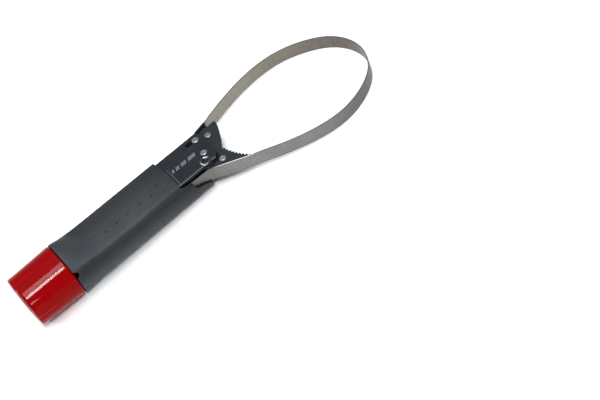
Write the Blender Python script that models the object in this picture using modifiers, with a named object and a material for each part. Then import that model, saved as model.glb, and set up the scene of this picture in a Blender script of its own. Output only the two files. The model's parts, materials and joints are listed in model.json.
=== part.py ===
"""Filter strap wrench: a steel band loop on a toothed swivel head, tightened by a knob in the handle's end.

Handle frame, in which every size below is given: +X runs from the knob to the head, +Y is to the left,
+Z is along the pivot, x = 0 is at the pivot, y = 0 on the knob's axis and z = 0 at mid thickness.
The empty "wrench_frame" moves all of it, so that the world's origin is the centre of the wrench's box.
"""
from math import atan2, cos, dist, pi, radians, sin

import bmesh
import bpy
from mathutils import Matrix, Vector

MM = 0.001
GAP = 0.3                          # between two pieces that rest on each other

# Where the handle frame lies in the world
FRAME_SHIFT = (8.0, 11.7, 0.0)

# Bodies: the place of each joint's axis
PIVOT = (0.0, -14.0)
BODY_ORIGINS = {
    "handle": (0.0, 0.0, 0.0),
    "head": (*PIVOT, 0.0),
    "strap": (145.0, -16.0, 0.0),
    "knob": (-124.0, 0.0, 0.0),
    "traveller": (-79.0, 0.0, 0.0),
}

# Channel: a rectangular steel tube with a rounded nose
CHANNEL_HALF_WIDTH = 17.0
CHANNEL_HALF_HEIGHT = 9.0
CHANNEL_WALL = 1.8
CHANNEL_CORNER = 2.2
CHANNEL_REAR = -119.0
NOSE_X = 12.3
NOSE_LEFT_RADIUS = 6.0
NOSE_RIGHT_RADIUS = 9.3
INNER_HALF_WIDTH = CHANNEL_HALF_WIDTH - CHANNEL_WALL
INNER_HALF_HEIGHT = CHANNEL_HALF_HEIGHT - CHANNEL_WALL

# Grip sleeve: eight-sided with soft shoulders in front, round where it meets the knob
GRIP_HALF_WIDTH = 21.2
GRIP_HALF_HEIGHT = 10.4
GRIP_WALL = 1.1
GRIP_REAR = -123.4
GRIP_REAR_RADIUS = 21.1
GRIP_ROUND_LENGTH = 28.0           # the stretch over which the section turns round
GRIP_SECTION = [(21.2, 0.0), (21.2, 5.4), (20.7, 6.6), (17.6, 9.9), (16.2, 10.4), (8.0, 10.4)]
GRIP_MOUTH = [(-27.0, 30.0), (-27.0, 8.4), (-17.5, 6.3), (-17.3, 0.4), (-2.6, -5.1), (-3.2, -7.2),
              (-8.5, -9.0), (-9.0, -30.0), (40.0, -30.0), (40.0, 30.0)]

# Head: two plates with a toothed core and a strap anchor between them
PLATE_LOW = 3.9
PLATE_HIGH = 5.5
CORE_HALF_HEIGHT = 3.6
HEEL_RADIUS = 5.0
JAW_CENTRE = (71.7, -2.1)
JAW_RADIUS = 54.9
JAW_FIRST_DEG, JAW_LAST_DEG = 188.0, 214.6
TEETH = 9
TOOTH_DEPTH = 1.3
RIGHT_EDGE = [(20.9, -3.2), (25.4, 5.6), (28.0, 11.6), (28.9, 15.6), (28.2, 16.9)]
LOWER_RIGHT_EDGE = [(20.4, -3.6), (22.6, 5.6), (25.6, 11.6), (27.6, 15.6), (27.0, 16.7)]
ANCHOR_START = (12.4, 18.15)
ANCHOR_END = (22.4, 20.65)
ANCHOR_HALF_WALL = 0.75
ANCHOR_HALF_HEIGHT = 6.9
STOP_PIN = (6.9, 9.2)              # rides with the head in the channel's curved slot
GUIDE_RIVET = (3.8, -6.2)          # fixed in the channel, in a curved slot inside the head
HEAD_RIVETS = {"rivet_upper": (16.9, 8.8), "rivet_lower": (10.5, -19.3)}
SWING_DEG = 16.0
RIVET_SHANK = 1.7
RIVET_HEAD = 2.9
SLOT_GAP = 0.4                     # between a rivet's shank and the curved slot that it runs in
RIVET_GAP = 0.2                    # between a rivet's shank and its hole

# Strap: one steel band, standing on its edge
STRAP_HALF_WIDTH = 6.0
STRAP_THICKNESS = 0.6
STRAP_LINE_DEG = -29.0             # the straight stretch along the jaw's back
STRAP_CORNER = (-2.5, -19.0)       # where the band turns into the handle
TAIL_Y = -17.9
TRAVELLER_X = -79.0                # the band's hooked end at rest
LOOP = [(25.6, 22.9), (34.7, 25.7), (50.0, 30.0), (66.0, 33.1), (83.0, 34.3), (100.0, 32.4), (115.0, 26.8),
        (128.0, 18.4), (137.8, 8.0), (143.6, -5.0), (144.6, -19.0), (140.6, -32.0), (132.0, -43.4),
        (118.0, -52.2), (101.0, -57.1), (85.0, -57.2), (68.0, -53.4), (50.0, -46.4), (34.0, -38.4)]

# Adjuster: lead screw, bulkhead and nut block on the knob's axis
PITCH = 3.0
THREAD_CREST, THREAD_ROOT = 4.8, 3.5
THREAD_FRONT, THREAD_REAR = -35.0, -108.0
BULKHEAD = (-118.7, -111.0)
FRONT_PLATE = (-34.0, -29.0)
PIN_Y, PIN_RADIUS, PIN_HOLE = 11.0, 1.4, 1.6
BLOCK_HALF_LENGTH = 7.0
BLOCK_RIGHT, BLOCK_LEFT = -14.6, 8.6
BLOCK_HALF_HEIGHT = 5.5
WINDOW = (-110.0, -35.5)           # slot in the channel's right wall for the strap hook

# Knob: a fluted cup on the lead screw's square end
KNOB_REAR, KNOB_FRONT = -161.0, -124.2
KNOB_REAR_RADIUS, KNOB_FRONT_RADIUS = 20.1, 21.1
FLUTES = 8
FIRST_FLUTE_DEG = 6.0
FLUTE_RADIUS, FLUTE_DEPTH, FLUTE_RISE = 6.0, 0.5, 2.0


# ---------------------------------------------------------------- scene

def clear_scene():
    for old in list(bpy.data.objects):
        bpy.data.objects.remove(old, do_unlink=True)


def collection(name):
    made = bpy.data.collections.new(name)
    bpy.context.scene.collection.children.link(made)
    return made


def empty(name, location, parent=None):
    made = bpy.data.objects.new(name, None)
    made.empty_display_size = 10 * MM
    made.location = Vector(location) * MM
    made.parent = parent
    PARTS.objects.link(made)
    return made


def material(name, colour, roughness, metallic=0.0):
    made = bpy.data.materials.new(name)
    made.use_nodes = True
    shader = made.node_tree.nodes["Principled BSDF"]
    shader.inputs["Base Color"].default_value = (*colour, 1.0)
    shader.inputs["Roughness"].default_value = roughness
    shader.inputs["Metallic"].default_value = metallic
    made.diffuse_color = (*colour, 1.0)
    return made


def place(name, mesh, body, finish=None):
    """Adds a mesh, given in the handle frame, as a piece of a body, or as a cutter if it has no finish."""
    made = bpy.data.objects.new(name, mesh)
    made.parent = BODIES[body]
    made.matrix_parent_inverse = Matrix.Translation(-Vector(BODY_ORIGINS[body]) * MM)
    if finish is None:
        CUTTERS.objects.link(made)
        made.hide_render = True
        made.display_type = "WIRE"
    else:
        PARTS.objects.link(made)
        own = FINISHES[finish].copy()
        own.name = name
        mesh.materials.clear()
        mesh.materials.append(own)
    return made


def smooth(made, degrees=35):
    """Smooth shading, sharp at real edges."""
    made.data.shade_smooth()
    made.data.set_sharp_from_angle(angle=radians(degrees))


# ---------------------------------------------------------------- shapes

def arc(centre, radius, first, last, steps):
    """Points of an arc, in degrees from first to last, both ends included."""
    turn = [radians(first + (last - first) * i / steps) for i in range(steps + 1)]
    return [(centre[0] + radius * cos(a), centre[1] + radius * sin(a)) for a in turn]


def turned_axis(axis):
    return Vector((0, 0, 1)).rotation_difference(Vector(axis)).to_matrix().to_4x4()


def box(name, body, low, high, finish=None):
    shape = bmesh.new()
    bmesh.ops.create_cube(shape, size=1.0)
    size = [(b - a) * MM for a, b in zip(low, high)]
    centre = [(a + b) / 2 * MM for a, b in zip(low, high)]
    bmesh.ops.scale(shape, vec=size, verts=shape.verts)
    bmesh.ops.translate(shape, vec=centre, verts=shape.verts)
    mesh = bpy.data.meshes.new(name)
    shape.to_mesh(mesh)
    shape.free()
    return place(name, mesh, body, finish)


def rod(name, body, start, axis, length, radius, finish=None, sides=20):
    """A straight round bar from start along axis."""
    shape = bmesh.new()
    lift = Matrix.Translation((0, 0, length / 2 * MM))
    bmesh.ops.create_cone(shape, cap_ends=True, segments=sides, radius1=radius * MM, radius2=radius * MM,
                          depth=length * MM, matrix=turned_axis(axis) @ lift)
    bmesh.ops.translate(shape, vec=Vector(start) * MM, verts=shape.verts)
    mesh = bpy.data.meshes.new(name)
    shape.to_mesh(mesh)
    shape.free()
    made = place(name, mesh, body, finish)
    smooth(made)
    return made


def turned(name, body, start, axis, profile, finish=None, sides=32, closed=False):
    """Turns a profile of (height, radius) points, top to bottom down its outer side, about an axis."""
    shape = bmesh.new()
    rim = [shape.verts.new((radius * MM, 0, height * MM)) for height, radius in profile]
    for a, b in zip(rim, rim[1:]):
        shape.edges.new((a, b))
    if closed:
        shape.edges.new((rim[-1], rim[0]))
    mesh = bpy.data.meshes.new(name)
    shape.to_mesh(mesh)
    shape.free()
    made = place(name, mesh, body, finish)
    made.matrix_basis = Matrix.Translation(Vector(start) * MM) @ turned_axis(axis)
    screw = made.modifiers.new("turn", "SCREW")
    screw.steps = sides
    screw.render_steps = sides
    screw.use_merge_vertices = True
    screw.merge_threshold = 0.00001
    screw.use_smooth_shade = True
    return made


def outline_mesh(name, outline, low, high, plane="XY"):
    """A flat outline, extruded from low to high across its plane, as a welded mesh."""
    turns = {
        "XY": Matrix.Identity(4),
        "XZ": Matrix.Rotation(pi / 2, 4, "X"),
        "YZ": Matrix.Rotation(pi / 2, 4, "Z") @ Matrix.Rotation(pi / 2, 4, "X"),
    }
    if plane == "XZ":
        low, high = -high, -low
    curve = bpy.data.curves.new(name, "CURVE")
    curve.dimensions = "2D"
    curve.fill_mode = "BOTH"
    curve.extrude = (high - low) / 2 * MM
    spline = curve.splines.new("POLY")
    spline.points.add(len(outline) - 1)
    for point, (u, v) in zip(spline.points, outline):
        point.co = (u * MM, v * MM, 0, 1)
    spline.use_cyclic_u = True
    guide = bpy.data.objects.new(name + "_outline", curve)
    bpy.context.scene.collection.objects.link(guide)
    graph = bpy.context.evaluated_depsgraph_get()
    mesh = bpy.data.meshes.new_from_object(guide.evaluated_get(graph))
    mesh.name = name
    bpy.data.objects.remove(guide, do_unlink=True)
    bpy.data.curves.remove(curve)
    shape = bmesh.new()
    shape.from_mesh(mesh)
    bmesh.ops.remove_doubles(shape, verts=shape.verts, dist=0.00001)
    bmesh.ops.transform(shape, matrix=turns[plane] @ Matrix.Translation((0, 0, (low + high) / 2 * MM)),
                        verts=shape.verts)
    bmesh.ops.recalc_face_normals(shape, faces=shape.faces)
    shape.to_mesh(mesh)
    shape.free()
    return mesh


def plate(name, body, outline, low, high, finish=None, plane="XY"):
    return place(name, outline_mesh(name, outline, low, high, plane), body, finish)


def boolean(target, cutter, operation="DIFFERENCE"):
    cut = target.modifiers.new(cutter.name, "BOOLEAN")
    cut.operation = operation
    cut.solver = "EXACT"
    cut.object = cutter


def drill(target, name, body, start, axis, length, radius, sides=20):
    boolean(target, rod(name, body, start, axis, length, radius, sides=sides))


def threaded(name, body, start, axis, length, crest, root, pitch, sides=14, finish=None):
    """A V thread: a grid wrapped into a helix, whose radius rises and falls once for each pitch."""
    rows = 2 * round(length / pitch) + 6
    shape = bmesh.new()
    columns = []
    for j in range(sides + 1):
        angle = 2 * pi * j / sides
        column = []
        for i in range(rows):
            height = (i / 2 - 2 + j / sides) * pitch
            fade = min(1.0, max(0.0, min(height, length - height) / pitch))
            radius = root + (crest - root) * fade * (i % 2)
            height = min(max(height, 0.0), length)
            column.append(shape.verts.new((radius * cos(angle) * MM, radius * sin(angle) * MM, height * MM)))
        columns.append(column)
    for left, right in zip(columns, columns[1:]):
        for i in range(rows - 1):
            shape.faces.new((left[i], right[i], right[i + 1], left[i + 1]))
    bmesh.ops.remove_doubles(shape, verts=shape.verts, dist=0.00001)
    bmesh.ops.dissolve_degenerate(shape, edges=shape.edges, dist=0.00001)
    bmesh.ops.holes_fill(shape, edges=shape.edges, sides=0)
    bmesh.ops.recalc_face_normals(shape, faces=shape.faces)
    mesh = bpy.data.meshes.new(name)
    shape.to_mesh(mesh)
    shape.free()
    mesh.transform(Matrix.Translation(Vector(start) * MM) @ turned_axis(axis))
    return place(name, mesh, body, finish)


# ---------------------------------------------------------------- handle

def make_channel():
    corner = CHANNEL_CORNER
    y, z = CHANNEL_HALF_WIDTH - corner, CHANNEL_HALF_HEIGHT - corner
    section = []
    for centre, first in (((y, z), 0), ((-y, z), 90), ((-y, -z), 180), ((y, -z), 270)):
        section += arc(centre, corner, first, first + 90, 4)
    channel = plate("frame_channel", "handle", section, CHANNEL_REAR, NOSE_X, "black_steel", "YZ")

    nose = [(CHANNEL_REAR - 9, -30), (NOSE_X - NOSE_RIGHT_RADIUS, -30)]
    nose += arc((NOSE_X - NOSE_RIGHT_RADIUS, NOSE_RIGHT_RADIUS - CHANNEL_HALF_WIDTH), NOSE_RIGHT_RADIUS, -90, 0, 8)
    nose += arc((NOSE_X - NOSE_LEFT_RADIUS, CHANNEL_HALF_WIDTH - NOSE_LEFT_RADIUS), NOSE_LEFT_RADIUS, 0, 90, 6)
    nose += [(NOSE_X - NOSE_LEFT_RADIUS, 30), (CHANNEL_REAR - 9, 30)]
    boolean(channel, plate("nose_shape", "handle", nose, -20, 20), "INTERSECT")

    cavity = box("channel_cavity", "handle", (CHANNEL_REAR - 5, -INNER_HALF_WIDTH, -INNER_HALF_HEIGHT),
                 (NOSE_X + 5, INNER_HALF_WIDTH, INNER_HALF_HEIGHT))
    boolean(channel, cavity)
    room = INNER_HALF_HEIGHT - 0.15
    for side, low, high in (("right", (-9.5, -20.0), (NOSE_X + 5, 0.0)), ("left", (-7.5, -0.1), (NOSE_X + 5, 20.0))):
        boolean(channel, box(f"swing_room_{side}", "handle", (*low, -room), (*high, room)))
    window = box("hook_window", "handle", (WINDOW[0], -20, -5.2), (WINDOW[1], -14, 5.2))
    boolean(channel, window)

    boolean(channel, plate("stop_pin_slot", "handle", swing_slot(STOP_PIN, SWING_DEG), -20, 20))
    drill(channel, "pivot_hole", "handle", (*PIVOT, -20), (0, 0, 1), 40, 3.5, 24)
    drill(channel, "guide_hole", "handle", (*GUIDE_RIVET, -20), (0, 0, 1), 40, RIVET_SHANK + RIVET_GAP, 16)
    for side, y in (("left", PIN_Y), ("right", -PIN_Y)):
        for where, x in (("rear", sum(BULKHEAD) / 2), ("front", sum(FRONT_PLATE) / 2)):
            drill(channel, f"pin_hole_{where}_{side}", "handle", (x, y, -20), (0, 0, 1), 40, PIN_HOLE, 12)
    smooth(channel)


def swing_slot(pin, turn):
    """A slot's outline round the pivot, from a pin's place at rest through a turn in degrees."""
    reach = dist(pin, PIVOT)
    first = atan2(pin[1] - PIVOT[1], pin[0] - PIVOT[0]) * 180 / pi
    low, high = sorted((first, first + turn))
    half = RIVET_SHANK + SLOT_GAP
    low_end, high_end = arc(PIVOT, reach, low, high, 1)
    slot = arc(PIVOT, reach + half, low, high, 6)
    slot += arc(high_end, half, high, high + 180, 6)[1:-1]
    slot += arc(PIVOT, reach - half, high, low, 6)
    slot += arc(low_end, half, low + 180, low + 360, 6)[1:-1]
    return slot


def grip_section(turn_round):
    """The grip's section as (y, z) points: 0 gives the shouldered shape, 1 the circle."""
    quarter = GRIP_SECTION
    mirrored = [(-y, z) for y, z in reversed(quarter[1:])]
    top = quarter + [(0.0, GRIP_HALF_HEIGHT)] + mirrored + [(-GRIP_HALF_WIDTH, 0.0)]
    whole = top + [(-y, -z) for y, z in top[1:-1]]
    points = []
    for i, (y, z) in enumerate(whole):
        a = 2 * pi * i / len(whole)
        points.append((y + (GRIP_REAR_RADIUS * cos(a) - y) * turn_round,
                       z + (GRIP_REAR_RADIUS * sin(a) - z) * turn_round))
    return points


def make_grip():
    shape = bmesh.new()
    stations = [GRIP_REAR + GRIP_ROUND_LENGTH * i / 7 for i in range(8)] + [-60.0, -30.0, 0.0]
    rings = []
    for x in stations:
        t = min(1.0, max(0.0, 1.0 - (x - GRIP_REAR) / GRIP_ROUND_LENGTH))
        ring = [shape.verts.new((x * MM, y * MM, z * MM)) for y, z in grip_section(t * t * (3 - 2 * t))]
        rings.append(ring)
    count = len(rings[0])
    for back, front in zip(rings, rings[1:]):
        for i in range(count):
            k = (i + 1) % count
            shape.faces.new((back[i], front[i], front[k], back[k]))
    bmesh.ops.recalc_face_normals(shape, faces=shape.faces)
    mesh = bpy.data.meshes.new("grip_sleeve")
    shape.to_mesh(mesh)
    shape.free()
    grip = place("grip_sleeve", mesh, "handle", "grip_plastic")
    skin = grip.modifiers.new("wall", "SOLIDIFY")
    skin.thickness = GRIP_WALL * MM
    skin.offset = -1.0
    skin.use_even_offset = True
    boolean(grip, plate("grip_mouth", "handle", GRIP_MOUTH, -40, 40, plane="XZ"))
    boolean(grip, box("grip_mouth_left", "handle", (GRIP_MOUTH[0][0], 14, -1), (40, 30, 30)))
    smooth(grip, 50)


def make_bearings():
    """The bulkhead at the rear, the plate in front, their pins, and the bush that the lead screw turns in."""
    room_y, room_z = INNER_HALF_WIDTH - GAP, INNER_HALF_HEIGHT - GAP
    for name, (rear, front), bore in (("rear_bulkhead", BULKHEAD, 6.0), ("front_bearing_plate", FRONT_PLATE, 3.4)):
        block = box(name, "handle", (rear, -room_y, -room_z), (front, room_y, room_z), "zinc_steel")
        drill(block, name + "_bore", "handle", (rear - 5, 0, 0), (1, 0, 0), front - rear + 10, bore, 24)
        for side, y in (("left", PIN_Y), ("right", -PIN_Y)):
            x = (rear + front) / 2
            drill(block, f"{name}_{side}_hole", "handle", (x, y, -20), (0, 0, 1), 40, PIN_HOLE, 12)
            pin = rod(f"{name}_pin_{side}", "handle", (x, y, -CHANNEL_HALF_HEIGHT), (0, 0, 1),
                      2 * CHANNEL_HALF_HEIGHT, PIN_RADIUS, "zinc_steel", 12)
            bevel = pin.modifiers.new("edge", "BEVEL")
            bevel.width = 0.2 * MM
            bevel.segments = 1
    rear, front = BULKHEAD
    turned("bulkhead_bush", "handle", (0, 0, 0), (1, 0, 0),
           [(front, 4.6), (front, 5.8), (rear, 5.8), (rear, 4.6)], "bronze", 24, closed=True)


def make_pivot():
    top = CHANNEL_HALF_HEIGHT
    height = top + GAP
    head = [(height + 0.3, 2.3), (height + 1.0, 2.8), (height + 1.3, 3.4), (height + 1.0, 4.1),
            (height + 0.2, 4.5), (height, 4.3), (height, 3.2)]
    foot = [(-h, r) for h, r in reversed(head)]
    turned("pivot_rivet", "handle", (*PIVOT, 0), (0, 0, 1), head + foot, "black_steel", 28, closed=True)
    domed_rivet("guide_rivet", "handle", GUIDE_RIVET, top)
    for side, low in (("top", PLATE_HIGH + GAP), ("bottom", -INNER_HALF_HEIGHT + GAP)):
        high = low + INNER_HALF_HEIGHT - PLATE_HIGH - 2 * GAP
        turned(f"pivot_washer_{side}", "handle", (*PIVOT, 0), (0, 0, 1),
               [(high, 3.5), (high, 4.9), (low, 4.9), (low, 3.5)], "black_plastic", 24, closed=True)


# ---------------------------------------------------------------- head

def strap_side(offset, x):
    """A point beside the band's straight stretch, offset towards the head from its middle."""
    a = radians(STRAP_LINE_DEG)
    y = STRAP_CORNER[1] + (x - STRAP_CORNER[0]) * sin(a) / cos(a)
    return (x + offset * -sin(a), y + offset * cos(a))


def jaw_teeth():
    """The toothed edge, from the jaw's tip back to its smooth part."""
    step = (JAW_LAST_DEG - JAW_FIRST_DEG) / TEETH
    points = []
    for i in range(TEETH):
        peak = JAW_LAST_DEG - i * step
        for reach, shift in ((0.0, 0.0), (0.15, 0.22), (TOOTH_DEPTH, 0.62)):
            points += arc(JAW_CENTRE, JAW_RADIUS + reach, peak - shift * step, peak, 1)[:1]
    return points


def lower_outline(heel_radius, inset):
    """Heel, back along the band and toothed jaw, anticlockwise from the heel's left."""
    points = arc(PIVOT, heel_radius, 165, 270 + STRAP_LINE_DEG, 7)
    points.append(strap_side(0.62 + inset, 26.0))
    return points + jaw_teeth()


def make_head():
    left_edge = [(20.4, 16.4), (19.2, 18.2), (12.8, 16.9), (7.6, 16.2), (-3.0, 15.4), (-4.2, 9.0), (-4.0, 2.0)]
    for side, low, high, right_edge in (("top", PLATE_LOW, PLATE_HIGH, RIGHT_EDGE),
                                        ("bottom", -PLATE_HIGH, -PLATE_LOW, LOWER_RIGHT_EDGE)):
        outline = lower_outline(HEEL_RADIUS, 0.0) + right_edge + left_edge
        face = plate(f"head_plate_{side}", "head", outline, low, high, "black_steel")
        drill_head(face, side)

    core_outline = lower_outline(HEEL_RADIUS - 0.2, 0.2) + [(19.6, -5.6), (21.4, -0.6), (4.0, -0.6)]
    core = plate("jaw_core", "head", core_outline, -CORE_HALF_HEIGHT, CORE_HALF_HEIGHT, "black_steel")
    drill_head(core, "core")

    lug = [(2.6, 5.0), (5.0, 2.8), (21.2, 1.6), (23.2, 6.0), (26.2, 12.0), (27.6, 15.8), (22.6, 15.8),
           (22.2, 20.5), (12.6, 18.1), (8.6, 14.8), (3.2, 10.6)]
    anchor = plate("strap_anchor", "head", lug, -CORE_HALF_HEIGHT, CORE_HALF_HEIGHT, "black_steel")
    start, end = Vector(ANCHOR_START), Vector(ANCHOR_END)
    along = (end - start).normalized()
    outward = Vector((-along.y, along.x))
    strap_outer = ANCHOR_HALF_WALL + STRAP_THICKNESS + 2 * GAP
    across = outward * ANCHOR_HALF_WALL
    wall = [tuple(p) for p in (start - across, end - across, end + across, start + across)]
    boolean(anchor, plate("anchor_wall", "head", wall, -ANCHOR_HALF_HEIGHT, ANCHOR_HALF_HEIGHT), "UNION")
    drill_head(anchor, "anchor")
    middle = Vector((*((start + end) / 2), 0.0))
    screw_axis = Vector((*outward, 0.0))
    drill(anchor, "anchor_screw_hole", "head", middle - 6.4 * screw_axis, screw_axis, 12, 1.9, 16)
    turned("anchor_screw", "head", middle, screw_axis,
           [(strap_outer + 1.1, 0.0), (strap_outer + 0.9, 1.9), (strap_outer, 2.8), (strap_outer, 1.6),
            (-6.0, 1.6), (-6.0, 0.0)], "rivet_steel", 16)


def drill_head(target, label):
    """The holes for the pivot, the pins and the rivets, in one layer of the head."""
    holes = {"pivot": (PIVOT, 3.3, 24), "stop": (STOP_PIN, RIVET_SHANK + RIVET_GAP, 16)}
    for name, centre in HEAD_RIVETS.items():
        holes[name] = (centre, RIVET_SHANK + RIVET_GAP, 16)
    reachable = {"core": ("pivot", "rivet_lower"), "anchor": ("stop", "rivet_upper")}.get(label, holes)
    for name in reachable:
        centre, radius, sides = holes[name]
        drill(target, f"{label}_{name}_hole", "head", (*centre, -20), (0, 0, 1), 40, radius, sides)
    if label != "anchor":
        boolean(target, plate(f"{label}_guide_slot", "head", swing_slot(GUIDE_RIVET, -SWING_DEG), -20, 20))


def domed_rivet(name, body, centre, face):
    """A rivet along Z with a domed head on each outer face."""
    low = face + 0.25
    head = [(low + 1.1, 0.0), (low + 1.0, 1.0), (low + 0.65, 1.9), (low + 0.1, RIVET_HEAD),
            (low, RIVET_HEAD - 0.1), (low, RIVET_SHANK)]
    foot = [(-h, r) for h, r in reversed(head)]
    turned(name, body, (*centre, 0), (0, 0, 1), head + foot, "rivet_steel", 20)


def make_head_rivets():
    domed_rivet("stop_pin", "head", STOP_PIN, CHANNEL_HALF_HEIGHT)
    for name, centre in HEAD_RIVETS.items():
        domed_rivet(name, "head", centre, PLATE_HIGH)


# ---------------------------------------------------------------- strap

def smooth_path(points, pieces):
    """Points along a Catmull-Rom curve through the given ones."""
    ends = [2 * Vector(points[0]) - Vector(points[1])] + [Vector(p) for p in points]
    ends.append(2 * ends[-1] - ends[-2])
    path = []
    for a, b, c, d in zip(ends, ends[1:], ends[2:], ends[3:]):
        for i in range(pieces):
            t = i / pieces
            path.append(0.5 * ((2 * b) + (c - a) * t + (2 * a - 5 * b + 4 * c - d) * t * t
                               + (3 * b - a - 3 * c + d) * t ** 3))
    return [tuple(p) for p in path] + [tuple(points[-1])]


def strap_route():
    """The band's middle line: anchor, loop, jaw's back, corner, and tail inside the handle."""
    along = (Vector(ANCHOR_END) - Vector(ANCHOR_START)).normalized()
    across = Vector((-along.y, along.x)) * (ANCHOR_HALF_WALL + GAP + STRAP_THICKNESS / 2)
    anchor = [tuple(Vector(ANCHOR_START) - along + across), tuple(Vector(ANCHOR_END) + across)]
    loop = smooth_path(LOOP, 3)
    corner = [strap_side(0.0, 24.0), strap_side(0.0, 4.0), strap_side(0.0, 0.0), (-1.6, -19.35), (-3.0, -19.02),
              (-6.0, -18.95)]
    tail = [(-14.0, -18.6), (-24.0, -18.1), (-34.0, TAIL_Y), (TRAVELLER_X - 6.0, TAIL_Y)]
    return anchor + loop + corner + tail


def make_strap():
    shape = bmesh.new()
    pairs = []
    for x, y in strap_route():
        pairs.append([shape.verts.new((x * MM, y * MM, side * STRAP_HALF_WIDTH * MM)) for side in (-1, 1)])
    for (a, b), (d, c) in zip(pairs, pairs[1:]):
        shape.faces.new((a, d, c, b))
    mesh = bpy.data.meshes.new("strap_band")
    shape.to_mesh(mesh)
    shape.free()
    band = place("strap_band", mesh, "strap", "strap_steel")
    sheet = band.modifiers.new("sheet", "SOLIDIFY")
    sheet.thickness = STRAP_THICKNESS * MM
    sheet.offset = 0.0
    sheet.use_even_offset = True
    along = (Vector(ANCHOR_END) - Vector(ANCHOR_START)).normalized()
    outward = Vector((-along.y, along.x, 0.0))
    middle = (Vector(ANCHOR_START) + Vector(ANCHOR_END)) / 2
    drill(band, "band_anchor_hole", "strap", Vector((*middle, 0.0)), outward, 5, 1.9, 16)
    drill(band, "band_hook_hole", "strap", (TRAVELLER_X, -22, 0), (0, 1, 0), 6, 2.3, 16)
    smooth(band)


# ---------------------------------------------------------------- adjuster

def make_traveller():
    x, z = TRAVELLER_X, BLOCK_HALF_HEIGHT
    block = box("nut_block", "traveller", (x - BLOCK_HALF_LENGTH, BLOCK_RIGHT, -z),
                (x + BLOCK_HALF_LENGTH, BLOCK_LEFT, z), "bronze")
    drill(block, "nut_bore", "traveller", (x - 20, 0, 0), (1, 0, 0), 40, THREAD_CREST + 0.15, 24)
    drill(block, "hook_screw_hole", "traveller", (x, -20, 0), (0, 1, 0), 12, 2.0, 16)
    for side, low in (("top", z + GAP), ("bottom", -INNER_HALF_HEIGHT + GAP)):
        high = low + INNER_HALF_HEIGHT - z - 2 * GAP
        box(f"slide_pad_{side}", "traveller", (x - 6, BLOCK_RIGHT, low), (x + 6, BLOCK_LEFT, high), "nylon")
    hook = box("strap_hook", "traveller", (x - 5.5, TAIL_Y + STRAP_THICKNESS / 2 + GAP, -4.6),
               (x + 5.5, BLOCK_RIGHT - GAP, 4.6), "zinc_steel")
    drill(hook, "hook_plate_hole", "traveller", (x, -20, 0), (0, 1, 0), 12, 2.0, 16)
    face = TAIL_Y - STRAP_THICKNESS / 2 - GAP
    turned("hook_screw", "traveller", (x, 0, 0), (0, -1, 0),
           [(-face + 0.9, 0.0), (-face + 0.7, 2.4), (-face, 3.4), (-face, 1.8), (9.0, 1.8), (9.0, 0.0)],
           "zinc_steel", 16)


def make_lead_screw():
    """Thread, thrust collar, journal, square drive and threaded stud in one turned bar."""
    screw = threaded("lead_screw", "knob", (THREAD_REAR, 0, 0), (1, 0, 0), THREAD_FRONT - THREAD_REAR,
                     THREAD_CREST, THREAD_ROOT, PITCH, finish="zinc_steel")
    collar_front = BULKHEAD[1] + 2.6
    shank = turned("screw_shank", "knob", (0, 0, 0), (1, 0, 0),
                   [(THREAD_REAR + 3, 0.0), (THREAD_REAR + 3, 3.2), (collar_front, 3.2), (collar_front, 6.0),
                    (BULKHEAD[1] + 0.4, 6.0), (BULKHEAD[1] + 0.4, 4.4), (-120.8, 4.4), (-120.8, 2.4),
                    (-159.0, 2.4), (-159.0, 0.0)], None, 20)
    boolean(screw, shank, "UNION")
    square = rod("screw_square", "knob", (-142.0, 0, 0), (1, 0, 0), 22.0, 4.2, sides=4)
    boolean(screw, square, "UNION")
    journal = rod("screw_journal", "knob", (THREAD_FRONT - 2, 0, 0), (1, 0, 0), FRONT_PLATE[1] - THREAD_FRONT + 4.5,
                  3.0, sides=20)
    boolean(screw, journal, "UNION")
    smooth(screw)
    turned("screw_clip", "knob", (0, 0, 0), (1, 0, 0),
           [(-27.3, 3.3), (-27.3, 5.6), (-28.5, 5.6), (-28.5, 3.3)], "zinc_steel", 20, closed=True)
    turned("thrust_washer", "knob", (0, 0, 0), (1, 0, 0),
           [(-119.3, 4.7), (-119.3, 8.6), (-120.3, 8.6), (-120.3, 4.7)], "bronze", 24, closed=True)


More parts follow.
